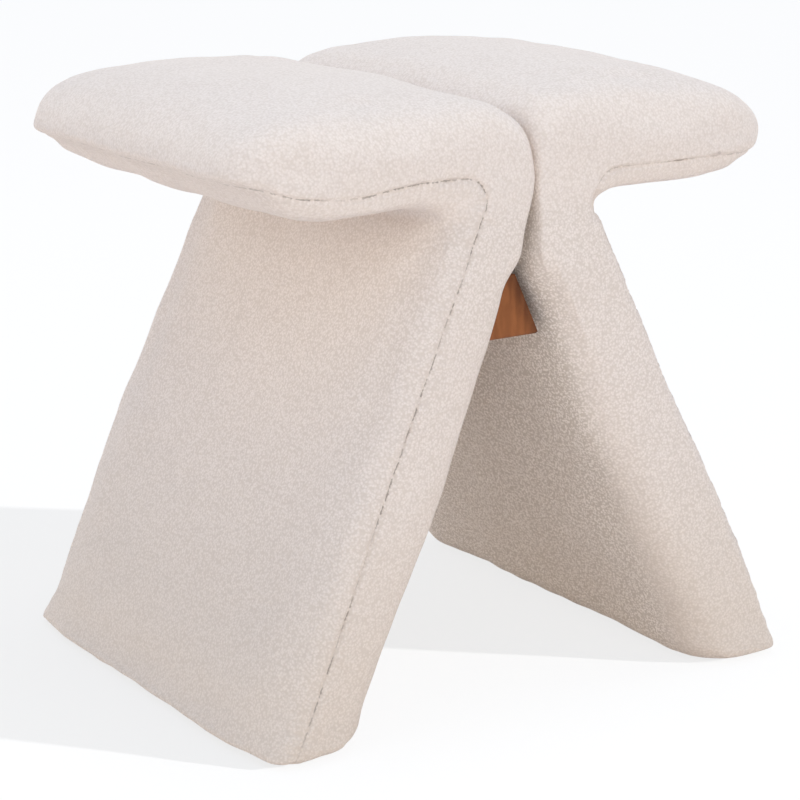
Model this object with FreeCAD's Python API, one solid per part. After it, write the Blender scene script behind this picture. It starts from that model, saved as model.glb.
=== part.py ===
import FreeCAD, Part
import math
import os

# A footstool of two like halves set back to back. Each half is a slanted leg slab under an outward
# seat wing: a plywood box on seven-shaped ribs, wrapped in foam and covered by two sewn fabric panels.
# A wooden wedge block under the crease ties the legs. The floor is z = 0 and the crease is x = 0.

# Form of one half, the right one, in millimetres and degrees
seat_height = 430.0
wing_thickness = 81.0
wing_reach = 220.0
wing_half_depth = 168.0
leg_neck = 60.8
leg_slant = 25.0
leg_flare = 0.05
crown_radius = 1900.0
bend_radius = 38.0
knee_radius = 60.0
nose_length = 66.0
nose_drop = 42.0
tip_corner_radius = 45.0
top_edge_radius = 32.0
low_edge_radius = 16.0
crease_edge_radius = 15.0
foot_edge_radius = 6.0
least_edge_radius = 0.5
crease_gap = 0.3

# Layers, from the outside in
cover_thickness = 2.5
cover_gap = 0.3
leg_foam = 12.0
edge_foam = 12.0
under_foam = 10.0
crease_foam = 8.0
tip_foam = 42.0
skin_thickness = 5.0

# Frame
leg_rib_width = 33.0
wing_rib_height = 18.0
rib_thickness = 18.0
foot_rail_height = 45.0
tip_rail_width = 18.0
spine_thickness = 12.0
screw_rail_thickness = 18.0
screw_rail_height = 55.0
frame_corner_radius = 20.0

# Seam, hem and feet
seam_offset = 20.0
seam_turn_radius = 20.0
seam_gap = 0.3
hem_width = 18.0
cloth_thickness = 0.6
cloth_margin = 8.0
glide_height = 1.4
glide_diameter = 20.0
glide_rim = 0.6
glide_pin_diameter = 2.0
glide_pin_length = 14.0
glide_end_distance = 40.0
pin_clearance = 0.1

# Wedge block and its screws
wedge_half_width = 23.0
wedge_height = 44.0
wedge_setback = 22.0
wedge_edge = 1.5
screw_rise = 16.0
screw_tilt = 45.0
screw_length = 50.0
screw_diameter = 6.0
screw_point = 5.0
screw_head_diameter = 12.0
screw_head_height = 3.5
pocket_diameter = 14.0
pocket_depth = 11.0
screw_clearance = 0.2
screw_end_distance = 61.0
screw_stagger = 12.0

slant = math.radians(leg_slant)
crease = crease_gap / 2
wing_underside = seat_height - wing_thickness
foot_reach = leg_neck + wing_underside * math.tan(slant)
cover_depth = cover_thickness + cover_gap
skin_depth = cover_depth + leg_foam
rib_depth = skin_depth + skin_thickness
leg_thickness = 2 * rib_depth + leg_rib_width
foot_level = glide_height + cloth_thickness
frame_bottom = foot_level + cover_thickness
hollow_under = wing_underside + cover_thickness
box_under = wing_underside + cover_depth + under_foam
rib_under = box_under + skin_thickness
rib_top = rib_under + wing_rib_height
box_top = rib_top + skin_thickness
box_crease = crease + cover_depth + crease_foam
spine_face = box_crease + spine_thickness
box_tip = wing_reach - cover_depth - tip_foam
nose_height = wing_underside + nose_drop
nose_rise = seat_height - nose_height
far = 2 * (wing_reach + foot_reach)

# Stations of the lofts, and the share of a section's height that a rounded edge may take up
lip_angles = (0, 45, 90)
roll_angles = (0, 22.5, 45, 67.5, 90)
nose_angles = (0, 20, 40, 57, 72, 83)
knee_shares = (1, 0.5, 0)
edge_share = 0.8


def vec(x, y, z):
    return FreeCAD.Vector(x, y, z)


def leg_plane_x(z, depth):
    """Where the plane lying the given depth inside the outer leg face stands at height z."""
    return foot_reach - z * math.tan(slant) - depth / math.cos(slant)


def leg_plane_z(x, depth):
    """The height at which that plane reaches x."""
    return (foot_reach - depth / math.cos(slant) - x) / math.tan(slant)


wedge_bottom = leg_plane_z(wedge_half_width, leg_thickness)
wedge_half_length = wing_half_depth - wedge_setback


def half_depth(z, inset):
    """Half the depth of the body at height z: the leg flares a little towards the floor."""
    return wing_half_depth + leg_flare * max(wing_underside - z, 0) - inset


def rounding(centre, radius, start, end, flat, place):
    """Edges round part of a circle, in degrees, on the plane that place lays a flat point on.

    A soft edge is one arc, and a flat-cut one two chords."""
    points = []
    for angle in (start, (start + end) / 2, end):
        a = math.radians(angle)
        points.append(place(centre[0] + radius * math.cos(a), centre[1] + radius * math.sin(a)))
    if flat:
        return Part.makePolygon(points).Edges
    return [Part.Arc(*points).toShape()]


def joined_wire(roundings):
    """A closed wire of the given runs of edges in order, with straight edges across the gaps between them."""
    edges = []
    for run, following in zip(roundings, roundings[1:] + roundings[:1]):
        edges += run
        end = run[-1].valueAt(run[-1].LastParameter)
        start = following[0].valueAt(following[0].FirstParameter)
        edges.append(Part.makeLine(end, start))
    return Part.Wire(edges)


def level_outline(x0, x1, half, r0, r1, flat, z):
    """A rectangle on the level z from x0 to x1, with its own corner radius at either end."""
    def place(x, y):
        return vec(x, y, z)
    return joined_wire([
        rounding((x1 - r1, r1 - half), r1, -90, 0, flat, place),
        rounding((x1 - r1, half - r1), r1, 0, 90, flat, place),
        rounding((x0 + r0, half - r0), r0, 90, 180, flat, place),
        rounding((x0 + r0, r0 - half), r0, 180, 270, flat, place),
    ])


def wing_outline(x, half, bottom, top, r_low, r_top, crown, flat):
    """The wing cut across at x: flat below, softly crowned above, with a rounded edge all along."""
    def place(y, z):
        return vec(x, y, z)
    shoulder = math.sqrt((crown - r_top) ** 2 - (half - r_top) ** 2)
    lean = math.degrees(math.atan2(shoulder, half - r_top))
    shoulder_z = top - crown + shoulder
    over_top = rounding((half - r_top, shoulder_z), r_top, 0, lean, flat, place)
    over_top += rounding((0, top - crown), crown, lean, 180 - lean, flat, place)
    over_top += rounding((r_top - half, shoulder_z), r_top, 180 - lean, 180, flat, place)
    return joined_wire([
        rounding((half - r_low, bottom + r_low), r_low, -90, 0, flat, place),
        over_top,
        rounding((r_low - half, bottom + r_low), r_low, 180, 270, flat, place),
    ])


def profile_prism(points):
    """A prism right across the stool, from corner points (x, z) of its side view."""
    corners = [vec(x, -far, z) for x, z in points]
    return Part.Face(Part.makePolygon(corners + corners[:1])).extrude(vec(0, 2 * far, 0))


def slab(z0, z1):
    return Part.makeBox(2 * far, 2 * far, z1 - z0, vec(-far, -far, z0))


def leg_solid(inset, bottom, top, flat):
    """The leg slab between two levels, shrunk by inset on its faces and edges."""
    in_radius = top_edge_radius - inset
    knee_radius_in = crease_edge_radius - inset
    out_radius = low_edge_radius - inset
    lip = max(foot_edge_radius - inset, least_edge_radius)
    levels = []
    for angle in lip_angles:
        a = math.radians(angle)
        z = bottom + lip * (1 - math.cos(a))
        tuck = inset + lip * (1 - math.sin(a))
        levels.append((z, leg_plane_x(z, leg_thickness - tuck), tuck, in_radius))
    centre_x = crease + knee_radius
    centre_z = leg_plane_z(centre_x - knee_radius / math.cos(slant), leg_thickness)
    for share in knee_shares:
        a = slant * share
        z = centre_z - (knee_radius - inset) * math.sin(a)
        x = centre_x - (knee_radius - inset) * math.cos(a)
        levels.append((z, x, inset, knee_radius_in + (in_radius - knee_radius_in) * share))
    levels.append((top, crease + inset, inset, knee_radius_in))
    wires = []
    for z, inner_x, tuck, radius in levels:
        wires.append(level_outline(inner_x, leg_plane_x(z, tuck), half_depth(z, tuck),
                                   radius, out_radius, flat, z))
    return Part.makeLoft(wires, True, True)


def plan_half(x, inset):
    """Half the depth of the wing at x, rounded off in plan at the crease and at the tip."""
    half = wing_half_depth - inset
    for centre, radius, way in ((crease + crease_edge_radius, crease_edge_radius, -1),
                                (wing_reach - tip_corner_radius, tip_corner_radius, 1)):
        past = (x - centre) * way
        if past > 0:
            rest = max((radius - inset) ** 2 - past ** 2, 0)
            half = wing_half_depth - radius + math.sqrt(rest)
    return half


def low_radius(x, inset):
    """The lower edge is sharp over the leg and rounds off where the wing leaves it."""
    share = (x - leg_plane_x(wing_underside, 0) + low_edge_radius) / (2 * low_edge_radius)
    full = low_edge_radius - inset
    return least_edge_radius + (full - least_edge_radius) * min(max(share, 0), 1)


def wing_solid(inset, flat):
    """The seat wing, shrunk by inset: a rolled edge at the crease, a crowned body and a rounded nose."""
    bottom = wing_underside + inset
    crown = crown_radius - inset
    r_top = top_edge_radius - inset

    roll = []
    for angle in roll_angles:
        a = math.radians(angle)
        x = crease + bend_radius - (bend_radius - inset) * math.cos(a)
        top = seat_height - bend_radius + (bend_radius - inset) * math.sin(a)
        r_top_roll = min(r_top, edge_share * (top - bottom))
        roll.append(wing_outline(x, plan_half(x, inset), bottom, top,
                                 low_radius(x, inset), r_top_roll, crown, flat))

    body = [roll[-1]]
    nose_start = wing_reach - nose_length
    edge_start = leg_plane_x(wing_underside, low_edge_radius * math.cos(slant))
    for x in (edge_start, edge_start + 2 * low_edge_radius):
        if crease + bend_radius < x < nose_start:
            body.append(wing_outline(x, plan_half(x, inset), bottom, seat_height - inset,
                                     low_radius(x, inset), r_top, crown, flat))

    nose = []
    for angle in nose_angles:
        a = math.radians(angle)
        x = nose_start + (nose_length - inset) * math.sin(a)
        rise = (nose_rise - inset) * math.cos(a)
        drop = (nose_drop - inset) * math.cos(a)
        r_low_nose = min(low_radius(x, inset), edge_share * drop)
        r_top_nose = min(r_top, edge_share * rise)
        nose.append(wing_outline(x, plan_half(x, inset), nose_height - drop, nose_height + rise,
                                 r_low_nose, r_top_nose, crown / math.cos(a), flat))
    body.append(nose[0])

    strips = [Part.makeLoft(outlines, True, True) for outlines in (roll, body, nose)]
    return strips[0].fuse(strips[1:])


def seam_zone(offset):
    """Everything on the outer and under side of the seam, which follows those faces at an offset."""
    level = wing_underside + offset
    corner = vec(leg_plane_x(level, offset), 0, level)
    reach = seam_turn_radius * math.tan((math.pi / 2 + slant) / 2)
    leg_end = corner + vec(math.sin(slant), 0, -math.cos(slant)) * reach
    wing_end = corner + vec(reach, 0, 0)
    centre = wing_end - vec(0, 0, seam_turn_radius)
    middle = centre + (corner - centre).normalize() * seam_turn_radius
    start = vec(leg_plane_x(-far, offset), 0, -far)
    turn = Part.Arc(leg_end, middle, wing_end).toShape()
    rest = Part.makePolygon([wing_end, vec(far, 0, level), vec(far, 0, -far), start, leg_end])
    face = Part.Face(Part.Wire([turn] + rest.Edges))
    face.translate(vec(0, -far, 0))
    return face.extrude(vec(0, 2 * far, 0))


def foot_outline(z, margin):
    return level_outline(leg_plane_x(z, leg_thickness) + margin, leg_plane_x(z, 0) - margin,
                         half_depth(z, margin), low_edge_radius, low_edge_radius, False, z)


def cover_panels():
    """The two fabric panels: top and inner faces, outer and under faces, sewn along the edges."""
    skin = leg_solid(0, foot_level, wing_underside, False).fuse(wing_solid(0, False))
    hollow = leg_solid(cover_thickness, frame_bottom, hollow_under, True)
    hollow = hollow.fuse(wing_solid(cover_thickness, True))
    window = Part.Face(foot_outline(foot_level, hem_width)).extrude(vec(0, 0, cover_thickness))
    shell = skin.cut([hollow, window])
    top_panel = shell.cut(seam_zone(seam_offset))
    under_panel = shell.common(seam_zone(seam_offset - seam_gap))
    return top_panel, under_panel


def frame_depth():
    """The tapering width that the frame may fill across the stool."""
    inset = cover_depth + edge_foam
    points = []
    for z in (0, wing_underside, seat_height):
        points.append(vec(-far, half_depth(z, inset), z))
    outline = points + [vec(p.x, -p.y, p.z) for p in reversed(points)]
    return Part.Face(Part.makePolygon(outline + outline[:1])).extrude(vec(2 * far, 0, 0))


def frame_plan():
    """The plan of the seat box, with rounded corners at the tip."""
    outline = level_outline(-far, box_tip, half_depth(wing_underside, cover_depth + edge_foam),
                            least_edge_radius, frame_corner_radius, False, 0)
    return Part.Face(outline).extrude(vec(0, 0, seat_height))


def leg_layer(depth, thickness, z0, z1):
    """A layer of the leg parallel to its faces, cut level at both ends."""
    return profile_prism([
        (leg_plane_x(z0, depth), z0),
        (leg_plane_x(z1, depth), z1),
        (leg_plane_x(z1, depth + thickness), z1),
        (leg_plane_x(z0, depth + thickness), z0),
    ])


def wing_layer(x0, x1, z0, z1):
    return Part.makeBox(x1 - x0, 2 * far, z1 - z0, vec(x0, -far, z0))


def beyond_crease():
    """What lies on the outer side of the frame's crease face."""
    return wing_layer(box_crease, far, -far, far)


def leg_box():
    box = leg_layer(skin_depth, leg_thickness - 2 * skin_depth, frame_bottom, box_under)
    return box.common(beyond_crease()).common(frame_depth())


def seat_box():
    box = wing_layer(box_crease, box_tip, box_under, box_top)
    return box.common(frame_depth()).common(frame_plan())


def foam_pads():
    """Four pads: seat and wing underside meet half way up the box, the leg pads half way through it."""
    leg = leg_solid(cover_depth, frame_bottom + cover_gap, hollow_under, True).cut(leg_box())
    wing = wing_solid(cover_depth, True).cut([leg_box(), seat_box()])
    outer_half = leg_layer(-far, far + leg_thickness / 2, -far, far)
    middle = (box_under + box_top) / 2
    return {
        "seat_foam": wing.common(slab(middle, far)),
        "wing_under_foam": wing.common(slab(0, middle)),
        "leg_outer_foam": leg.common(outer_half),
        "leg_inner_foam": leg.cut(outer_half),
    }


def screw_rail():
    """The rail inside the inner leg skin that takes the screws of the wedge block."""
    up = vec(-math.sin(slant), 0, math.cos(slant))
    inward = vec(-math.cos(slant), 0, -math.sin(slant))
    top_z = leg_plane_z(spine_face, leg_thickness - rib_depth)
    upper = vec(spine_face, 0, top_z)
    corners = [upper, upper - inward * screw_rail_thickness,
               upper - inward * screw_rail_thickness - up * screw_rail_height, upper - up * screw_rail_height]
    return profile_prism([(p.x, p.z) for p in corners]).common(frame_depth())


def frame_pieces():
    """Rails, skins and the three ribs of the plywood box."""
    inner_face = leg_thickness - rib_depth
    rail_top = frame_bottom + foot_rail_height
    tip_rail_face = box_tip - tip_rail_width
    depth = frame_depth()
    plan = frame_plan()
    pieces = {
        "foot_rail": leg_layer(rib_depth, leg_rib_width, frame_bottom, rail_top).common(depth),
        "tip_rail": wing_layer(tip_rail_face, box_tip, rib_under, rib_top).common(plan),
        "spine_board": profile_prism([
            (box_crease, leg_plane_z(box_crease, inner_face)),
            (spine_face, leg_plane_z(spine_face, inner_face)),
            (spine_face, rib_top),
            (box_crease, rib_top),
        ]).common(depth),
        "screw_rail": screw_rail(),
        "leg_outer_skin": leg_layer(skin_depth, skin_thickness, frame_bottom, rib_under).common(depth),
        "leg_inner_skin": leg_layer(inner_face, skin_thickness, frame_bottom, rib_under)
        .common(beyond_crease()).common(depth),
        "seat_top_skin": wing_layer(box_crease, box_tip, rib_top, box_top).common(plan),
        "wing_under_skin": profile_prism([
            (leg_plane_x(box_under, skin_depth), box_under),
            (box_tip, box_under),
            (box_tip, rib_under),
            (leg_plane_x(rib_under, skin_depth), rib_under),
        ]).common(plan),
    }
    rib = profile_prism([
        (leg_plane_x(rail_top, rib_depth), rail_top),
        (leg_plane_x(rib_under, rib_depth), rib_under),
        (tip_rail_face, rib_under),
        (tip_rail_face, rib_top),
        (spine_face, rib_top),
        (spine_face, leg_plane_z(spine_face, inner_face)),
        (leg_plane_x(rail_top, inner_face), rail_top),
    ]).cut(pieces["screw_rail"])
    outer_rib = half_depth(seat_height, cover_depth + edge_foam + frame_corner_radius) - rib_thickness
    for name, y in (("front_rib", -outer_rib - rib_thickness), ("middle_rib", -rib_thickness / 2),
                    ("rear_rib", outer_rib)):
        pieces[name] = rib.common(Part.makeBox(2 * far, rib_thickness, 2 * far, vec(-far, y, -far)))
    return pieces


def glide_places():
    x = (leg_plane_x(foot_level, 0) + leg_plane_x(foot_level, leg_thickness)) / 2
    y = half_depth(foot_level, glide_end_distance)
    return [vec(x, -y, 0), vec(x, y, 0)]


def glides():
    """Two nail-on glides under the foot."""
    r = glide_diameter / 2
    pin = glide_pin_diameter / 2
    outline = Part.makePolygon([
        vec(0, 0, 0), vec(r - glide_rim, 0, 0), vec(r, 0, glide_rim), vec(r, 0, glide_height),
        vec(pin, 0, glide_height), vec(pin, 0, glide_pin_length), vec(0, 0, glide_pin_length), vec(0, 0, 0),
    ])
    glide = Part.Face(outline).revolve(vec(0, 0, 0), vec(0, 0, 1), 360)
    solids = []
    for place in glide_places():
        copy = glide.copy()
        copy.translate(place)
        solids.append(copy)
    return Part.makeCompound(solids)


def pin_holes():
    radius = glide_pin_diameter / 2 + pin_clearance
    return [Part.makeCylinder(radius, glide_pin_length + pin_clearance, place) for place in glide_places()]


def base_cloth():
    cloth = Part.Face(foot_outline(glide_height, cloth_margin)).extrude(vec(0, 0, cloth_thickness))
    return cloth.cut(pin_holes())


def screw_seats():
    """Where each screw head of the right half bears in its pocket, and the way the screws point."""
    tilt = math.radians(screw_tilt)
    way = vec(math.sin(tilt), 0, math.cos(tilt))
    z = wedge_bottom + screw_rise
    face = vec(leg_plane_x(z, leg_thickness), 0, z)
    mouth = face - way * (screw_rise / math.cos(tilt))
    seat = mouth + way * pocket_depth
    row = wedge_half_length - screw_end_distance
    return [seat + vec(0, screw_stagger + side * row, 0) for side in (-1, 1)], way


def block_screw():
    """One wide-headed wood screw along z, its head bearing at z = 0."""
    shank = screw_diameter / 2
    head = screw_head_diameter / 2
    outline = Part.makePolygon([
        vec(0, 0, -screw_head_height), vec(head, 0, -screw_head_height), vec(head, 0, 0), vec(shank, 0, 0),
        vec(shank, 0, screw_length - screw_point), vec(0, 0, screw_length), vec(0, 0, -screw_head_height),
    ])
    return Part.Face(outline).revolve(vec(0, 0, 0), vec(0, 0, 1), 360)


def turned(shape):
    """The same thing on the other half, which is this half turned half round."""
    return shape.rotated(vec(0, 0, 0), vec(0, 0, 1), 180)


def on_screws(shape):
    """Copies of a shape on each screw axis of both halves."""
    seats, way = screw_seats()
    copies = []
    for seat in seats:
        copy = shape.copy()
        copy.Placement = FreeCAD.Placement(seat, FreeCAD.Rotation(vec(0, 0, 1), way))
        copies.append(copy)
        copies.append(turned(copy))
    return copies


def screw_holes():
    return on_screws(Part.makeCylinder(screw_diameter / 2 + screw_clearance, screw_length + screw_clearance))


def wedge_block():
    """The wooden block between the legs, with its pockets for the screws in the underside."""
    top = wedge_bottom + wedge_height
    high_half = leg_plane_x(top, leg_thickness)
    prism = profile_prism([
        (-wedge_half_width, wedge_bottom),
        (wedge_half_width, wedge_bottom),
        (high_half, top),
        (-high_half, top),
    ])
    block = prism.common(Part.makeBox(2 * far, 2 * wedge_half_length, far, vec(-far, -wedge_half_length, 0)))
    ends = [e for e in block.Edges if abs(e.CenterOfMass.z - wedge_bottom) < wedge_edge]
    block = block.makeChamfer(wedge_edge, ends)
    pocket = Part.makeCylinder(pocket_diameter / 2, far, vec(0, 0, -far))
    return block.cut(on_screws(pocket) + screw_holes())


def half_nodes():
    """Every piece of the right half by name."""
    nodes = frame_pieces()
    nodes.update(foam_pads())
    nodes["top_cover"], nodes["under_cover"] = cover_panels()
    holes = screw_holes()
    for name in ("screw_rail", "leg_inner_skin", "leg_inner_foam", "top_cover",
                 "front_rib", "middle_rib", "rear_rib"):
        nodes[name] = nodes[name].cut(holes)
    nodes["foot_rail"] = nodes["foot_rail"].cut(pin_holes())
    nodes["base_cloth"] = base_cloth()
    nodes["glides"] = glides()
    return nodes


other_end = {"front_rib": "rear_rib", "rear_rib": "front_rib"}
os.makedirs("parts", exist_ok=True)
for name, shape in half_nodes().items():
    shape.exportStep("parts/right_" + name + ".step")
    turned(shape).exportStep("parts/left_" + other_end.get(name, name) + ".step")
wedge_block().exportStep("parts/wedge_block.step")
Part.makeCompound(on_screws(block_screw())).exportStep("parts/block_screws.step")
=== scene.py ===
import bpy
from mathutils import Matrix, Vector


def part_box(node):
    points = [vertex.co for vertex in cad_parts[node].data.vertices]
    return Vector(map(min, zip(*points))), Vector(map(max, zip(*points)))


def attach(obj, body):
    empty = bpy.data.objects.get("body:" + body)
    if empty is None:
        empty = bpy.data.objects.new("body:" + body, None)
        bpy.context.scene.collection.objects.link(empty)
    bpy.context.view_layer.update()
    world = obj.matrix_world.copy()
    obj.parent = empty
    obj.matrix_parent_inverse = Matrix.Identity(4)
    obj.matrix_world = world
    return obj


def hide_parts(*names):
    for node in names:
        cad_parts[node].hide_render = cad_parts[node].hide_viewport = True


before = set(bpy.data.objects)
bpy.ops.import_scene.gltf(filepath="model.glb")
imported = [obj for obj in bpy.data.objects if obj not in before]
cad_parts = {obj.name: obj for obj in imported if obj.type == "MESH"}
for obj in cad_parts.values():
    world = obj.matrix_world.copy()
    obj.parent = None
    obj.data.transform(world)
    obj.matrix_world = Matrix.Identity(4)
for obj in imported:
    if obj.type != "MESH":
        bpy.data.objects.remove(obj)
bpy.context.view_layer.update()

import math

import bmesh
import bpy
import numpy as np
from mathutils import Matrix, Vector, noise

# The sealed plywood boxes inside the two halves: ribs, rails and spine boards of birch ply, closed by thin
# skins that are glued and stapled on. Nothing of them shows once the stool is covered.
PLIES_PER_METRE = 240.0
PLY_PALE = (0.66, 0.48, 0.29, 1.0)
PLY_DARK = (0.43, 0.28, 0.15, 1.0)


class Strand:
    """One socket of a finish. Sums with it add Math nodes, and node() adds any other node."""

    def __init__(self, socket):
        self.socket = socket

    def node(self, kind, settings, sockets, out=0):
        made = self.socket.id_data.nodes.new("ShaderNode" + kind)
        for name, value in settings.items():
            setattr(made, name, value)
        for name, value in sockets.items():
            if isinstance(value, Strand):
                self.socket.id_data.links.new(value.socket, made.inputs[name])
            else:
                made.inputs[name].default_value = value
        return Strand(made.outputs[out])

    def math(self, operation, first, second=0.0):
        return self.node("Math", {"operation": operation}, {0: first, 1: second})

    def __add__(self, other):
        return self.math("ADD", self, other)

    def __sub__(self, other):
        return self.math("SUBTRACT", self, other)

    def __mul__(self, other):
        return self.math("MULTIPLY", self, other)

    def __rsub__(self, other):
        return self.math("SUBTRACT", other, self)

    __radd__ = __add__
    __rmul__ = __mul__

    def stretched(self, x, y, z):
        """The same place measured in steps of its own along each axis."""
        return self.node("VectorMath", {"operation": "MULTIPLY"}, {0: self, 1: (x, y, z)})

    def clouds(self, scale, detail=2.0):
        return self.node("TexNoise", {}, {"Vector": self, "Scale": scale, "Detail": detail})

    def eased(self, low, high):
        """0 below low, 1 above high and a smooth rise between."""
        return self.node("MapRange", {"interpolation_type": "SMOOTHSTEP"},
                         {"Value": self, "From Min": low, "From Max": high})

    def tint(self, low, high):
        return self.node("Mix", {"data_type": "RGBA"}, {"Factor": self, 6: low, 7: high}, out=2)

    def raised(self, strength, depth):
        return self.node("Bump", {}, {"Height": self, "Strength": strength, "Distance": depth})

    def into(self, socket):
        self.socket.id_data.links.new(self.socket, socket)


def new_finish(name):
    """A new finish: its material, its surface and the place on the piece that its pattern is drawn by."""
    made = bpy.data.materials.new(name)
    made.use_nodes = True
    place = made.node_tree.nodes.new("ShaderNodeTexCoord")
    return made, made.node_tree.nodes["Principled BSDF"].inputs, Strand(place.outputs["Object"])


def dress(node, finish):
    """A rigid solid keeps its own shape and takes its finish."""
    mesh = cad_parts[node].data
    mesh.materials.clear()
    mesh.materials.append(finish)


birch_ply, surface, place = new_finish("birch_ply")
across = place.node("SeparateXYZ", {}, {"Vector": place}, out="Y")
layers = place.math("SINE", across * (2.0 * math.pi * PLIES_PER_METRE)) * 0.5 + 0.5
figure = place.stretched(9.0, 160.0, 9.0).clouds(4.0, 4.0)
shade = (layers.eased(0.35, 0.65) * 0.45 + figure * 0.55).eased(0.2, 0.85)
shade.tint(PLY_PALE, PLY_DARK).into(surface["Base Color"])
(0.52 + figure * 0.2).into(surface["Roughness"])
figure.raised(0.15, 0.0004).into(surface["Normal"])

SIDES = ("left", "right")
PLY_PIECES = ("front_rib", "middle_rib", "rear_rib", "foot_rail", "tip_rail", "spine_board", "screw_rail",
              "seat_top_skin", "wing_under_skin", "leg_outer_skin", "leg_inner_skin")
for side in SIDES:
    for piece in PLY_PIECES:
        dress(side + "_" + piece, birch_ply)

# The wedge block that joins the halves under the crease: a length of oiled walnut, its grain running front to
# back, planed to the slope of both legs and screwed to them from below.
WALNUT_PALE = (0.325, 0.112, 0.034, 1.0)
# The darkest walnut colour serves both the dark grain and the painted shade along the block's right face.
WALNUT_DARK_AND_SHADE = (0.050, 0.013, 0.004, 1.0)
SLANT = math.radians(25.0)
PAINTED_SHADE_DEPTH = 0.013

oiled_walnut, surface, place = new_finish("oiled_walnut")
drift = place.stretched(1.0, 0.06, 1.0).clouds(28.0, 3.0)
rings = place.node("TexWave", {"wave_type": "BANDS", "bands_direction": "X"},
                   {"Vector": place.stretched(1.0, 0.05, 0.35), "Scale": 42.0, "Distortion": 9.0,
                    "Detail": 3.0, "Detail Scale": 2.0}, out="Fac")
pores = place.stretched(1.0, 0.04, 1.0).clouds(900.0, 1.0).eased(0.62, 0.75)
tone = rings * 0.3 + drift * 0.7
low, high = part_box("wedge_block")
right_face = high[0] * math.cos(SLANT) + low[2] * math.sin(SLANT)
across = place.node("SeparateXYZ", {}, {"Vector": place}, out="X")
upward = place.node("SeparateXYZ", {}, {"Vector": place}, out="Z")
# Painted shade: the wood is darkened towards its sloped right face, where it meets the right leg's cover, standing
# in for the shadow in the gap there.
painted_edge_shade = (across * math.cos(SLANT) + upward * math.sin(SLANT)).eased(right_face - PAINTED_SHADE_DEPTH, right_face + 0.001)
shade = tone.eased(0.2, 0.8) * 0.3 + painted_edge_shade * 0.55 + pores * 0.1
shade.tint(WALNUT_PALE, WALNUT_DARK_AND_SHADE).into(surface["Base Color"])
(0.5 + tone * 0.15).into(surface["Roughness"])
surface["Specular IOR Level"].default_value = 0.2
(tone * 0.4 - pores * 0.6).raised(0.25, 0.0003).into(surface["Normal"])
dress("wedge_block", oiled_walnut)

# Steel fixings: the zinc-plated wood screws in the block's pockets, and the nail-on glides of pressed, nickelled
# steel under the feet, their domes scuffed by the floor.
ZINC = (0.55, 0.54, 0.50, 1.0)
ZINC_DULL = (0.33, 0.31, 0.27, 1.0)
NICKEL = (0.60, 0.58, 0.55, 1.0)
NICKEL_DULL = (0.42, 0.40, 0.37, 1.0)


def plated_steel(name, bright, dull, grain, rough):
    """Plated steel: cloudy bright and dull patches with fine scuffs."""
    made, surface, place = new_finish(name)
    cloud = place.clouds(grain, 3.0)
    scuff = place.stretched(1.0, 9.0, 1.0).clouds(grain * 6.0, 1.0).eased(0.55, 0.7)
    (cloud.eased(0.35, 0.7) * 0.7 + scuff * 0.3).tint(bright, dull).into(surface["Base Color"])
    (rough + cloud * 0.2 + scuff * 0.15).into(surface["Roughness"])
    surface["Metallic"].default_value = 1.0
    scuff.raised(0.1, 0.0001).into(surface["Normal"])
    return made


dress("block_screws", plated_steel("zinc_screws", ZINC, ZINC_DULL, 260.0, 0.28))
for side in SIDES:
    dress(side + "_glides", plated_steel(side + "_glide_nickel", NICKEL, NICKEL_DULL, 300.0, 0.3))

# The padded halves: foam pads glued round each plywood box and drawn into off-white looped cloth. The cover is
# sewn from two panels; their seam runs up the front of the leg, turns in the corner, goes round the wing and
# down the back. Stitches pull it into a groove with small puckers, and the hem is stapled under the foot.
FOOT_REACH = 0.22354
WING_UNDER = 0.349
HEM_LEVEL = 0.0011
SOLE_LEVEL = 0.0022
SEAM_TURN = 0.016
SEAM_LOOPS = (0.0, -0.001, 0.001, -0.0028, 0.0028)
TURN_FAN = 6
NET_SIZE = 0.0053
BLOWN_STEPS = 20
WING_PLUMP = 0.004
LEG_PLUMP = 0.0025
CREASE_ROOM = 0.0075
CREASE_LEAN = 0.0133
CREASE_YIELD = 0.007
FOLD_DEPTH = 0.004
FOLD_REACH = 0.009
HEM_TUCK = 0.012
HEM_FLARE = 0.005
HEM_HEIGHT = 0.018
GROOVE_DEPTH = 0.0017
GROOVE_WIDTH = 0.0014
STITCH_LENGTH = 0.0125
PLEAT_LENGTH = 0.0045
SOFT_NODES = ("top_cover", "under_cover", "seat_foam", "wing_under_foam", "leg_outer_foam", "leg_inner_foam")
HARD_NODES = ("front_rib", "middle_rib", "rear_rib", "foot_rail", "tip_rail", "spine_board", "screw_rail")
UP_LEG = np.array((-math.sin(SLANT), math.cos(SLANT)))
INWARD = np.array((-math.cos(SLANT), -math.sin(SLANT)))


def step_up(values, low, high):
    """0 up to low, 1 from high and a smooth rise between."""
    share = np.clip((values - low) / (high - low), 0.0, 1.0)
    return share * share * (3.0 - 2.0 * share)


def ripple(points, wave, seed):
    """Slow, uneven waves of about the given length over points, between -1 and 1."""
    dice = np.random.RandomState(seed)
    ways = dice.normal(size=(9, points.shape[1]))
    ways /= np.linalg.norm(ways, axis=1)[:, None]
    ways *= 2.0 * math.pi / wave * dice.uniform(0.6, 1.5, size=(9, 1))
    return np.sin(points @ ways.T + dice.uniform(0.0, 6.28, size=9)).sum(axis=1) / 4.5


def seam_bend(offset):
    """The middle of the seam's turn in the corner, seen from the front."""
    z = WING_UNDER + offset[1] - SEAM_TURN
    return np.array((FOOT_REACH - z * math.tan(SLANT) + (SEAM_TURN - offset[0]) / math.cos(SLANT), z))


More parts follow.
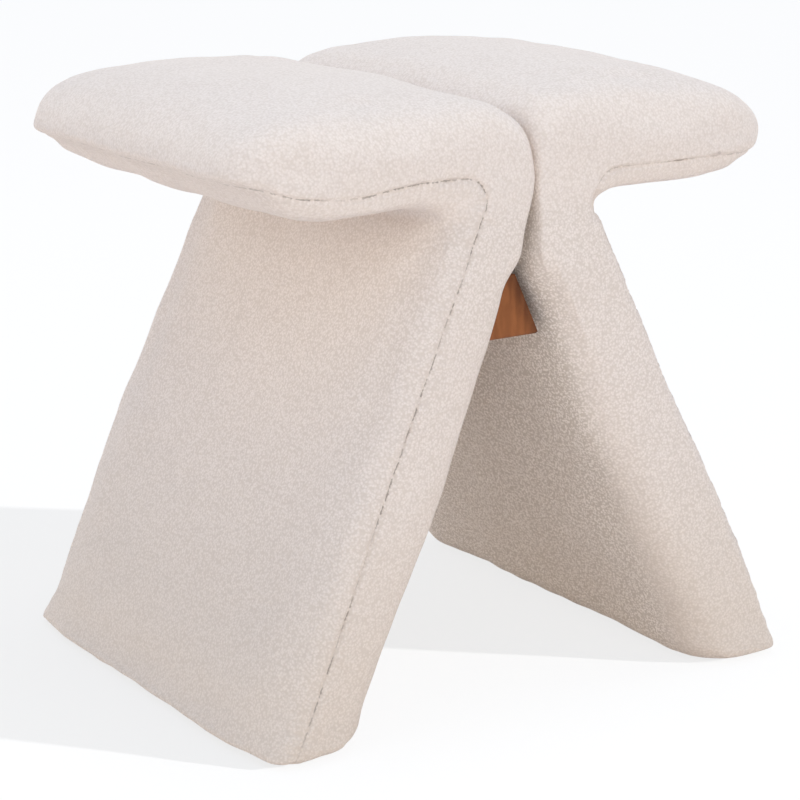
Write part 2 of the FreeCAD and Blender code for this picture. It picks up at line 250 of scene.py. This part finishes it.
def seam_distance(points, offset):
    """How far points lie from the seam, seen from the front: above it and inside it is positive."""
    away = points[:, (0, 2)] - seam_bend(offset)
    turning = (away[:, 0] < 0.0) & (away @ UP_LEG > 0.0)
    reach = np.where(turning, np.hypot(away[:, 0], away[:, 1]), np.maximum(away[:, 1], away @ INWARD))
    return reach - SEAM_TURN


def positions(mesh):
    flat = np.empty(len(mesh.vertices) * 3)
    mesh.vertices.foreach_get("co", flat)
    return flat.reshape(-1, 3)


def normals(mesh):
    flat = np.empty(len(mesh.vertices) * 3)
    mesh.vertex_normals.foreach_get("vector", flat)
    return flat.reshape(-1, 3)


def move_to(mesh, points):
    mesh.vertices.foreach_set("co", points.ravel())
    mesh.update()


def baked(piece):
    """The piece's mesh with its modifiers worked in."""
    graph = bpy.context.evaluated_depsgraph_get()
    mesh = bpy.data.meshes.new_from_object(piece.evaluated_get(graph))
    piece.modifiers.clear()
    piece.data = mesh
    return mesh


def padded_form(side, turn):
    """The outer form of one half's pads and cover as an even net, in the half's own right-hand frame."""
    net = bmesh.new()
    for part in SOFT_NODES + HARD_NODES:
        net.from_mesh(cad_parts[side + "_" + part].data)
    bmesh.ops.remove_doubles(net, verts=net.verts, dist=1e-5)
    bmesh.ops.transform(net, matrix=turn, verts=net.verts)
    mesh = bpy.data.meshes.new(side + "_padded_half")
    net.to_mesh(mesh)
    net.free()
    piece = bpy.data.objects.new(side + "_padded_half", mesh)
    bpy.context.scene.collection.objects.link(piece)
    remesh = piece.modifiers.new("net", "REMESH")
    remesh.mode = "VOXEL"
    remesh.voxel_size = NET_SIZE
    mesh = baked(piece)
    net = bmesh.new()
    net.from_mesh(mesh)
    outside = max(net.verts, key=lambda corner: corner.co.z)
    reached, waiting = {outside}, [outside]
    while waiting:
        here = waiting.pop()
        for edge in here.link_edges:
            there = edge.other_vert(here)
            if there not in reached:
                reached.add(there)
                waiting.append(there)
    bmesh.ops.delete(net, geom=[corner for corner in net.verts if corner not in reached], context="VERTS")
    for again in range(3):
        bmesh.ops.smooth_vert(net, verts=net.verts, factor=0.5, use_axis_x=True, use_axis_y=True, use_axis_z=True)
    net.to_mesh(mesh)
    net.free()
    mesh.update()
    return piece


def plump(piece, offset):
    """Blows the cover up a little from a smaller start, held at the seam, at the crease and under the foot."""
    mesh = piece.data
    rest, out = positions(mesh), normals(mesh)
    move_to(mesh, rest - out * 0.003)
    free = step_up(np.abs(seam_distance(rest, offset)), 0.002, 0.012)
    free = free * step_up(rest[:, 2], 0.008, 0.03) * step_up(rest[:, 0], 0.002, 0.015)
    held = piece.vertex_groups.new(name="held")
    held.add(np.flatnonzero(free < 0.1).tolist(), 1.0, "REPLACE")
    cloth = piece.modifiers.new("cloth", "CLOTH")
    cloth.settings.quality = 5
    cloth.settings.mass = 0.3
    cloth.settings.tension_stiffness = 25.0
    cloth.settings.compression_stiffness = 25.0
    cloth.settings.bending_stiffness = 2.0
    cloth.settings.use_pressure = True
    cloth.settings.uniform_pressure_force = 4.0
    cloth.settings.vertex_group_mass = "held"
    cloth.settings.effector_weights.gravity = 0.0
    cloth.point_cache.frame_start = 1
    cloth.point_cache.frame_end = BLOWN_STEPS
    for step in range(1, BLOWN_STEPS + 1):
        bpy.context.scene.frame_set(step)
    blown = positions(baked(piece))
    bpy.context.scene.frame_set(1)
    risen = ((blown - rest) * out).sum(axis=1)
    limit = np.where(rest[:, 2] > WING_UNDER, WING_PLUMP, LEG_PLUMP)
    move_to(piece.data, rest + out * (np.tanh(risen / limit) * limit * free)[:, None])
    piece.vertex_groups.clear()


def settle(piece, front, spread, belly, rise, sag, lift, reach, seed):
    """Lets the soft form sit as it does in use: one end of the bend leans over the crease and the other gives way
    to its neighbour, the wing sags, the foot spreads and its hem is drawn under."""
    mesh = piece.data
    rest, out = positions(mesh), normals(mesh)
    x, y, z = rest.T
    ahead = y * front
    moved = rest + out * (0.0012 * ripple(rest, 0.11, seed) + 0.0004 * ripple(rest, 0.035, seed + 1))[:, None]
    face = out @ np.array((math.cos(SLANT), 0.0, math.sin(SLANT)))
    inside = step_up(-face, 0.2, 0.8)
    middle = step_up(0.165 - np.abs(y), 0.0, 0.07) * step_up(WING_UNDER - z, 0.02, 0.08)
    moved -= out * (0.0018 * step_up(face, 0.9, 0.99) * middle)[:, None]
    near = 1.0 - step_up(x, 0.0, 0.05)
    leans = step_up(z, 0.322, 0.375) - 0.25 * np.exp(-((z - 0.306) / 0.014) ** 2)
    moved[:, 0] -= CREASE_LEAN * leans * near * step_up(y, 0.085, 0.15)
    within = x - CREASE_ROOM
    pressed = (np.hypot(within, 0.007) - within) / 2.0 * step_up(z, 0.285, 0.345)
    pressed += CREASE_YIELD * np.exp(-((z - 0.285) / 0.035) ** 2) * inside
    moved[:, 0] += pressed * step_up(-y, 0.085, 0.15)
    moved[:, 0] -= belly * step_up(0.30 - z, 0.0, 0.06) * step_up(z, 0.05, 0.16) * inside
    fold = np.hypot(x - FOOT_REACH + WING_UNDER * math.tan(SLANT), z - WING_UNDER)
    moved -= out * (FOLD_DEPTH * np.exp(-(fold / FOLD_REACH) ** 2))[:, None]
    lower = step_up(0.30 - z, 0.0, 0.30)
    moved[:, 1] += front * lower * (spread[0] * step_up(ahead, 0.0, 0.15) - spread[1] * step_up(-ahead, 0.0, 0.15))
    outer = step_up(x - (FOOT_REACH - z * math.tan(SLANT)), -0.045, -0.005)
    moved[:, 0] -= 0.006 * outer * step_up(0.12 - z, 0.0, 0.12) * step_up(np.abs(ahead), 0.12, 0.18)
    top = step_up(z, WING_UNDER - 0.004, WING_UNDER + 0.006) * step_up(z, 0.37, 0.42)
    moved[:, 2] += top * (rise - sag * np.clip((x - 0.05) / 0.16, 0.0, 1.0) ** 2)
    raised = lift[0] + (lift[1] - lift[0]) * step_up(x, 0.08, 0.19)
    moved[:, 2] += raised * step_up(x, 0.06, 0.09) * (1.0 - step_up(z, 0.353, 0.39)) * (z > 0.335)
    end = step_up(x, 0.15, 0.205)
    moved[:, 0] += reach[0] * end * np.exp(-((z - 0.387) / 0.016) ** 2)
    moved[:, 0] -= reach[1] * end * np.exp(-((z - 0.362) / 0.014) ** 2)
    tucked = np.clip(1.0 - z / HEM_HEIGHT, 0.0, 1.0) ** 2 * (HEM_TUCK * inside - HEM_FLARE)
    moved[:, :2] -= out[:, :2] * tucked[:, None]
    sunk = step_up(0.030 - z, 0.0, 0.026)
    moved[:, 2] -= sunk * (z.min() - HEM_LEVEL - 0.0004 * (1.0 + ripple(rest, 0.03, seed + 2)))
    sole = (out[:, 2] < -0.8) & (z < 0.02)
    moved[sole, 2] = np.maximum(moved[sole, 2], SOLE_LEVEL)
    moved[:, 2] = np.maximum(moved[:, 2], HEM_LEVEL)
    move_to(mesh, moved)


def cut_seam(net, offset):
    """Cuts edge loops into the net along the seam and on both sides of it."""
    bend = seam_bend(offset)
    middle = Vector((bend[0], 0.0, bend[1]))
    first, last = Vector((INWARD[0], 0.0, INWARD[1])), Vector((0.0, 0.0, 1.0))
    whole = first.angle(last)
    fan = [Matrix.Rotation(whole * (step + 0.5) / TURN_FAN, 3, "Y") @ first for step in range(TURN_FAN)]
    ways = [first] + fan + [last]
    bands = [[] for way in ways]
    for face in net.faces:
        away = face.calc_center_median() - middle
        below = away.x * UP_LEG[0] + away.z * UP_LEG[1] <= 0.0
        if below and (away.x < 0.0 or away.dot(first) > away.z):
            band = 0
        elif away.x >= 0.0:
            band = TURN_FAN + 1
        else:
            turned = first.angle(Vector((away.x, 0.0, away.z)), 0.0)
            band = 1 + min(int(turned / whole * TURN_FAN), TURN_FAN - 1)
        if abs(away.dot(ways[band]) - SEAM_TURN) < 0.012:
            bands[band].append(face)
    for way, faces in zip(ways, bands):
        for distance in SEAM_LOOPS:
            corners = {corner for face in faces for corner in face.verts}
            edges = {edge for face in faces for edge in face.edges}
            cut = bmesh.ops.bisect_plane(net, geom=list(corners) + list(edges) + faces, dist=1e-5,
                                         plane_co=middle + way * (SEAM_TURN + distance), plane_no=way)
            faces = [part for part in cut["geom"] if isinstance(part, bmesh.types.BMFace)]


def sew(piece, offset, bunched, seed):
    """Draws the seam in, lifts the soft rolls beside it and puckers them; then notes the seam for the finish."""
    net = bmesh.new()
    net.from_mesh(piece.data)
    cut_seam(net, offset)
    net.to_mesh(piece.data)
    net.free()
    mesh = piece.data
    rest, out = positions(mesh), normals(mesh)
    away = seam_distance(rest, offset)
    bend = seam_bend(offset)
    flat = rest[:, (0, 2)] - bend
    climb = flat @ UP_LEG
    on_leg = (climb <= 0.0) & ((flat[:, 0] < 0.0) | (flat @ INWARD > flat[:, 1]))
    broad = np.where(on_leg, 1.0 - step_up(np.abs(out[:, 1]), 0.2, 0.4), 0.0)
    near = np.abs(away) + 0.02 * broad
    turned = np.arctan2(-flat[:, 0], flat[:, 1])
    across = np.where(np.abs(out[:, 1]) > 0.6, flat[:, 0], rest[:, 1])
    whole = math.pi / 2.0 + SLANT
    run = np.where(on_leg, climb - whole * SEAM_TURN, np.where(flat[:, 0] < 0.0, -turned * SEAM_TURN, across))
    steady = np.where(on_leg | (flat[:, 0] < 0.0), 1.0, step_up(np.abs(np.abs(out[:, 1]) - 0.6), 0.0, 0.15))
    tip = step_up(rest[:, 0], 0.165, 0.20)
    corner = bunched * np.exp(-(np.hypot(flat[:, 0], flat[:, 1]) / 0.035) ** 2)
    hem = 1.0 - step_up(rest[:, 2], 0.02, 0.11)
    strip = np.stack((run, away * 0.25, np.sign(rest[:, 1]) * 0.05), axis=1)
    pull = ripple(strip, 0.026, seed) * steady
    groove = np.exp(-(near / GROOVE_WIDTH) ** 2) * (GROOVE_DEPTH + 0.0007 * pull) * (1.0 - 0.55 * tip)
    groove += np.exp(-(near / 0.006) ** 2) * 0.0007 * (1.0 - 0.5 * tip)
    roll = np.exp(-((near - 0.010) / 0.0065) ** 2) * 0.0007
    fade = steady * np.exp(-(near / 0.010) ** 2) * (1.0 - np.exp(-(near / 0.0025) ** 2))
    ruck = ripple(strip, 0.0105, seed + 1) * fade * (0.0005 + 0.0011 * corner + 0.0005 * hem)
    gather = ripple(strip, 0.02, seed + 2) * np.exp(-(near / 0.013) ** 2) * 0.0016 * corner * steady
    under = steady * (away < 0.0) * step_up(rest[:, 0], bend[0], bend[0] + 0.05)
    droop = ripple(strip, 0.06, seed + 3) * under * np.exp(-((near - 0.014) / 0.010) ** 2) * 0.0014
    move_to(mesh, rest + out * (roll + ruck + gather + droop - groove)[:, None])
    pucker = np.exp(-(near / 0.0065) ** 2) * (1.0 - np.exp(-(near / 0.0012) ** 2))
    pucker *= steady * (0.25 + (away < 0.0) * (0.35 + 0.9 * corner))
    bold = (0.25 + 0.75 * bunched) * (1.0 - 0.35 * tip)
    # The inner faces that turn away from the light are marked for painted light: the finish tints them lighter and
    # darkens their loop gaps more.
    facing = out @ np.array((math.cos(SLANT), 0.0, math.sin(SLANT)))
    painted_inner_light = step_up(-facing, 0.55, 0.95) * (1.0 - step_up(rest[:, 2], 0.36, 0.41))
    painted_inner_light *= step_up(0.178 - np.abs(rest[:, 1]), 0.0, 0.035)
    for name, values in (("seam", near), ("run", run), ("bold", bold), ("pucker", pucker), ("painted_inner_light", painted_inner_light)):
        mesh.attributes.new(name, "FLOAT", "POINT").data.foreach_set("value", values)


def hang(piece, tip_rise):
    """Lets the seam hang a little between the corner and the tip and rise round the tip, on the end that leans."""
    rest = positions(piece.data)
    hung = 0.005 * np.exp(-((rest[:, 0] - 0.14) / 0.035) ** 2) * step_up(rest[:, 1], 0.09, 0.16)
    level = np.exp(-((rest[:, 2] - WING_UNDER - 0.026) / 0.012) ** 2)
    rest[:, 2] += (tip_rise * step_up(rest[:, 0], 0.175, 0.21) - hung) * level
    move_to(piece.data, rest)


LOOP_PALE = (0.890, 0.807, 0.755, 1.0)
LOOP_SHADE = (0.770, 0.682, 0.620, 1.0)
GAP_SHADE = (0.500, 0.425, 0.355, 1.0)
LOOP_PAINTED_LIGHT = (0.985, 0.920, 0.860, 1.0)
HEM_SHADE = (0.61, 0.52, 0.41, 1.0)
SEAM_SHADE = (0.33, 0.28, 0.24, 1.0)

looped_cloth, surface, place = new_finish("looped_cloth")
stray = place.node("TexNoise", {}, {"Vector": place, "Scale": 260.0, "Detail": 1.0}, out="Color")
shift = stray.node("VectorMath", {"operation": "SCALE"}, {0: stray, "Scale": 0.0018})
drawn = place.node("VectorMath", {"operation": "ADD"}, {0: place, 1: shift})
loops = drawn.node("TexVoronoi", {"feature": "SMOOTH_F1"},
                   {"Vector": drawn, "Scale": 540.0, "Smoothness": 0.3, "Randomness": 1.0}, out="Distance")
curls = loops.math("SINE", loops * 14.0) * 0.5 + 0.5
fibres = place.clouds(1700.0, 2.0)
patches = place.clouds(30.0, 3.0)
level = place.node("SeparateXYZ", {}, {"Vector": place}, out="Z")
leg_rows = place.stretched(1.0, 1.0, 3.0).clouds(150.0)
wing_rows = place.stretched(3.0, 1.0, 1.0).clouds(150.0)
on_wing = level.eased(WING_UNDER - 0.012, WING_UNDER + 0.012)
rows = (leg_rows + (wing_rows - leg_rows) * on_wing).eased(0.3, 0.7)
nub = 1.0 - loops.eased(0.1, 0.75)
near_seam = place.node("Attribute", {"attribute_name": "seam"}, {}, out="Fac")
run = place.node("Attribute", {"attribute_name": "run"}, {}, out="Fac")
bold = place.node("Attribute", {"attribute_name": "bold"}, {}, out="Fac")
pucker = place.node("Attribute", {"attribute_name": "pucker"}, {}, out="Fac")
wobble = place.clouds(40.0, 2.0)
stitch = place.math("SINE", run * (2.0 * math.pi / STITCH_LENGTH) + wobble * 16.0).eased(-0.8, -0.3)
faint = place.clouds(24.0, 1.0).eased(0.38, 0.54)
frayed = near_seam + (place.clouds(480.0, 2.0) - 0.5) * 0.0022
# Painted shadow: a dark dashed line along the seam, dashed as the stitches, standing in for the shade in the
# seam's groove.
painted_seam_shadow = (1.0 - frayed.eased(0.0001, 0.0009)) * stitch * (0.3 + faint * 0.7) * bold
pleats = place.math("SINE", run * (2.0 * math.pi / PLEAT_LENGTH) + wobble * 6.0).eased(-0.3, 0.9) * pucker
height = nub * 0.55 + rows * 0.15 + curls * 0.15 + fibres * 0.15 - pleats * 0.7
# The pleats also darken the colour in their valleys: painted shade.
light = (nub * 0.45 + curls * 0.15 + fibres * 0.15 + rows * 0.1 + patches * 0.15 - pleats * 0.35).eased(0.15, 0.8)
# Painted shade: the cloth is tinted darker over its lowest 22 cm, standing in for the shade near the floor.
painted_floor_shade = (1.0 - level.eased(0.0, 0.22)) * 0.3
cloth = painted_floor_shade.tint(light.tint(LOOP_SHADE, LOOP_PALE), HEM_SHADE)
painted_inner_light = place.node("Attribute", {"attribute_name": "painted_inner_light"}, {}, out="Fac")
leg_picks = place.stretched(1.0, 1.0, 2.2).clouds(470.0, 1.0)
wing_picks = place.stretched(2.2, 1.0, 1.0).clouds(470.0, 1.0)
picks = leg_picks + (wing_picks - leg_picks) * on_wing
gaps = ((1.0 - nub) * 0.4 + (1.0 - picks) * 0.6).eased(0.38, 0.66)
# Painted light: the marked inner faces are tinted lighter, and their loop gaps are painted darker, standing in for
# the light and grain on the shaded inner side.
cloth = (painted_inner_light * 0.8).tint(cloth, LOOP_PAINTED_LIGHT)
cloth = (gaps * (0.04 + painted_inner_light * 0.5 + (1.0 - on_wing) * 0.14)).tint(cloth, GAP_SHADE)
(painted_seam_shadow * 0.85).tint(cloth, SEAM_SHADE).into(surface["Base Color"])
(0.85 + nub * 0.1).into(surface["Roughness"])
surface["Specular IOR Level"].default_value = 0.15
surface["Sheen Weight"].default_value = 0.2
surface["Sheen Roughness"].default_value = 0.6
surface["Sheen Tint"].default_value = (1.0, 0.97, 0.93, 1.0)
height.raised(0.27, 0.0012).into(surface["Normal"])

# Which way each half is turned and where its front lies; how far its seam stands off the leg's outer face and the
# wing's underside, how much it bunches in the corner and how far it climbs at the tip. Then how the half sits: how
# far the foot spreads at the front and at the back, the inner face swells, the top rises and the tip sags, the
# underside is drawn up beside the leg and at the tip, and the tip reaches out and draws in below.
HALVES = {
    "left": (Matrix.Rotation(math.pi, 4, "Z"), 1.0, (0.020, 0.0265), 1.0, 0.006,
             dict(spread=(0.001, -0.008), belly=0.005, rise=0.002, sag=-0.002, lift=(0.006, 0.005),
                  reach=(0.004, 0.005))),
    "right": (Matrix.Identity(4), -1.0, (0.0015, 0.022), 0.3, 0.0,
              dict(spread=(0.012, 0.0), belly=0.0, rise=0.0055, sag=0.0115, lift=(0.003, 0.006),
                   reach=(0.006, 0.0))),
}
for number, side in enumerate(SIDES):
    turn, front, offset, bunched, tip_rise, stance = HALVES[side]
    half = padded_form(side, turn)
    plump(half, offset)
    finer = half.modifiers.new("finer", "SUBSURF")
    finer.levels = finer.render_levels = 1
    baked(half)
    settle(half, front, seed=40 + number * 10, **stance)
    sew(half, offset, bunched, 70 + number * 10)
    hang(half, tip_rise)
    half.data.transform(turn)
    half.data.shade_smooth()
    half.data.materials.clear()
    half.data.materials.append(looped_cloth)
    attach(half, "root")
    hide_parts(*[side + "_" + part for part in SOFT_NODES])

# The dust cloths under the feet: thin black spun cloth, cut to the foot, its edge turned in and stapled over the
# hem of the cover, with the glides nailed through it.
DUST_BLACK = (0.018, 0.018, 0.020, 1.0)
DUST_GREY = (0.05, 0.05, 0.052, 1.0)
DUST_HEM = 0.024
DUST_LEVEL = 0.0018

dust_cloth, surface, place = new_finish("dust_cloth")
spun = place.clouds(700.0, 4.0)
weld = place.node("TexVoronoi", {}, {"Vector": place, "Scale": 600.0, "Randomness": 0.15}, out="Distance")
spun.eased(0.35, 0.7).tint(DUST_BLACK, DUST_GREY).into(surface["Base Color"])
(0.8 + spun * 0.15).into(surface["Roughness"])
(weld.eased(0.1, 0.4) * 0.6 + spun * 0.4).raised(0.3, 0.0003).into(surface["Normal"])

for number, side in enumerate(SIDES):
    low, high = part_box(side + "_base_cloth")
    width, length = high[0] - low[0] - DUST_HEM, high[1] - low[1] - DUST_HEM
    net = bmesh.new()
    bmesh.ops.create_grid(net, x_segments=16, y_segments=56, size=0.5)
    middle = Vector(((low[0] + high[0]) / 2, (low[1] + high[1]) / 2, DUST_LEVEL))
    bmesh.ops.transform(net, verts=net.verts, matrix=Matrix.Translation(middle) @ Matrix.Diagonal(
        (width, length, 1.0, 1.0)))
    corners = [v for v in net.verts if len(v.link_edges) == 2]
    bmesh.ops.delete(net, geom=corners, context="VERTS")
    for corner in net.verts:
        corner.co.z += 0.00018 * noise.noise(corner.co * 60.0 + Vector((0, 0, 5.0 * number)))
    bmesh.ops.reverse_faces(net, faces=net.faces)
    mesh = bpy.data.meshes.new(side + "_dust_sheet")
    net.to_mesh(mesh)
    net.free()
    mesh.shade_smooth()
    mesh.materials.append(dust_cloth)
    sheet = bpy.data.objects.new(side + "_dust_sheet", mesh)
    bpy.context.scene.collection.objects.link(sheet)
    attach(sheet, "root")
    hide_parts(side + "_base_cloth")

# The studio: a wide white floor under an even pale sky, a large soft lamp in front and above, another straight
# overhead, and a low lamp from the right that falls on the floor alone and lays the long faint shadows there.
FLOOR_BOUNCE = (0.94, 0.86, 0.80, 1.0)
SKY_HIGH = (0.17, 0.29, 0.51, 1.0)
SKY_LOW = (1.60, 1.50, 1.35, 1.0)


def studio_sheet(name, level):
    """A wide level sheet with a finish of its own, whose tree is handed back bare."""
    net = bmesh.new()
    bmesh.ops.create_grid(net, x_segments=1, y_segments=1, size=40.0)
    bmesh.ops.translate(net, verts=net.verts, vec=(0.0, 0.0, level))
    mesh = bpy.data.meshes.new(name)
    net.to_mesh(mesh)
    net.free()
    finish = bpy.data.materials.new(name)
    finish.use_nodes = True
    tree = finish.node_tree
    tree.nodes.remove(tree.nodes["Principled BSDF"])
    mesh.materials.append(finish)
    sheet = bpy.data.objects.new(name, mesh)
    bpy.context.scene.collection.objects.link(sheet)
    return sheet, tree.nodes["Material Output"].inputs["Surface"], Strand(
        tree.nodes.new("ShaderNodeLightPath").outputs["Is Camera Ray"])


floor, surface, path = studio_sheet("white_floor", 0.0)
glow = path.node("Emission", {}, {"Color": (1.0, 1.0, 1.0, 1.0), "Strength": 0.78})
shaded = path.node("BsdfDiffuse", {}, {"Color": (0.13, 0.13, 0.13, 1.0)})
path.node("AddShader", {}, {0: glow, 1: shaded}).into(surface)
floor.visible_diffuse = False
floor.visible_shadow = False
under_floor, surface, path = studio_sheet("bounce_floor", -0.001)
path.node("BsdfDiffuse", {}, {"Color": FLOOR_BOUNCE}).into(surface)
under_floor.visible_camera = False
under_floor.visible_glossy = False
under_floor.visible_transmission = False

sky = bpy.data.worlds.new("pale_sky")
sky.use_nodes = True
tree = sky.node_tree
path = tree.nodes.new("ShaderNodeLightPath")
seen_sky = Strand(path.outputs["Is Camera Ray"])
above = Strand(tree.nodes.new("ShaderNodeTexCoord").outputs["Generated"])
above = above.node("SeparateXYZ", {}, {"Vector": above}, out="Z").eased(0.0, 0.9)
seen_sky.tint(above.tint(SKY_LOW, SKY_HIGH), (1.0, 1.0, 1.0, 1.0)).into(tree.nodes["Background"].inputs["Color"])
tree.nodes["Background"].inputs["Strength"].default_value = 1.0
bpy.context.scene.world = sky


def add_lamp(name, kind, place, aim, strength, colour):
    lamp = bpy.data.lights.new(name, kind)
    lamp.energy = strength
    lamp.color = colour
    stand = bpy.data.objects.new(name, lamp)
    stand.location = place
    stand.rotation_euler = (Vector(aim) - Vector(place)).to_track_quat("-Z", "Y").to_euler()
    bpy.context.scene.collection.objects.link(stand)
    return stand


front_lamp = add_lamp("front_softbox", "AREA", (-0.5, -1.45, 1.2), (0.0, 0.0, 0.25), 3.7, (1.0, 1.0, 0.95))
front_lamp.data.shape = "DISK"
front_lamp.data.size = 0.9
top_lamp = add_lamp("overhead_softbox", "AREA", (0.1, 0.1, 3.0), (0.0, 0.0, 0.25), 25.8, (1.0, 0.96, 0.84))
top_lamp.data.shape = "DISK"
top_lamp.data.size = 1.2
low_lamp = add_lamp("low_side_lamp", "SUN", (1.40, -1.43, 0.52), (0.0, 0.0, 0.0), 11.0, (1.0, 1.0, 1.0))
low_lamp.data.angle = math.radians(1.5)
floor_only = bpy.data.collections.new("floor_only")
floor_only.objects.link(floor)
low_lamp.light_linking.receiver_collection = floor_only

eye = bpy.data.cameras.new("photo_view")
eye.sensor_width = 36.0
eye.lens = 111.221
viewer = bpy.data.objects.new("photo_view", eye)
viewer.matrix_world = Matrix(((0.8348, 0.1436, -0.5316, -0.96890),
                              (-0.5506, 0.2115, -0.8075, -1.47880),
                              (-0.0035, 0.9668, 0.2556, 0.64959),
                              (0.0, 0.0, 0.0, 1.0)))
bpy.context.scene.collection.objects.link(viewer)
bpy.context.scene.camera = viewer
bpy.context.scene.view_settings.view_transform = "Standard"
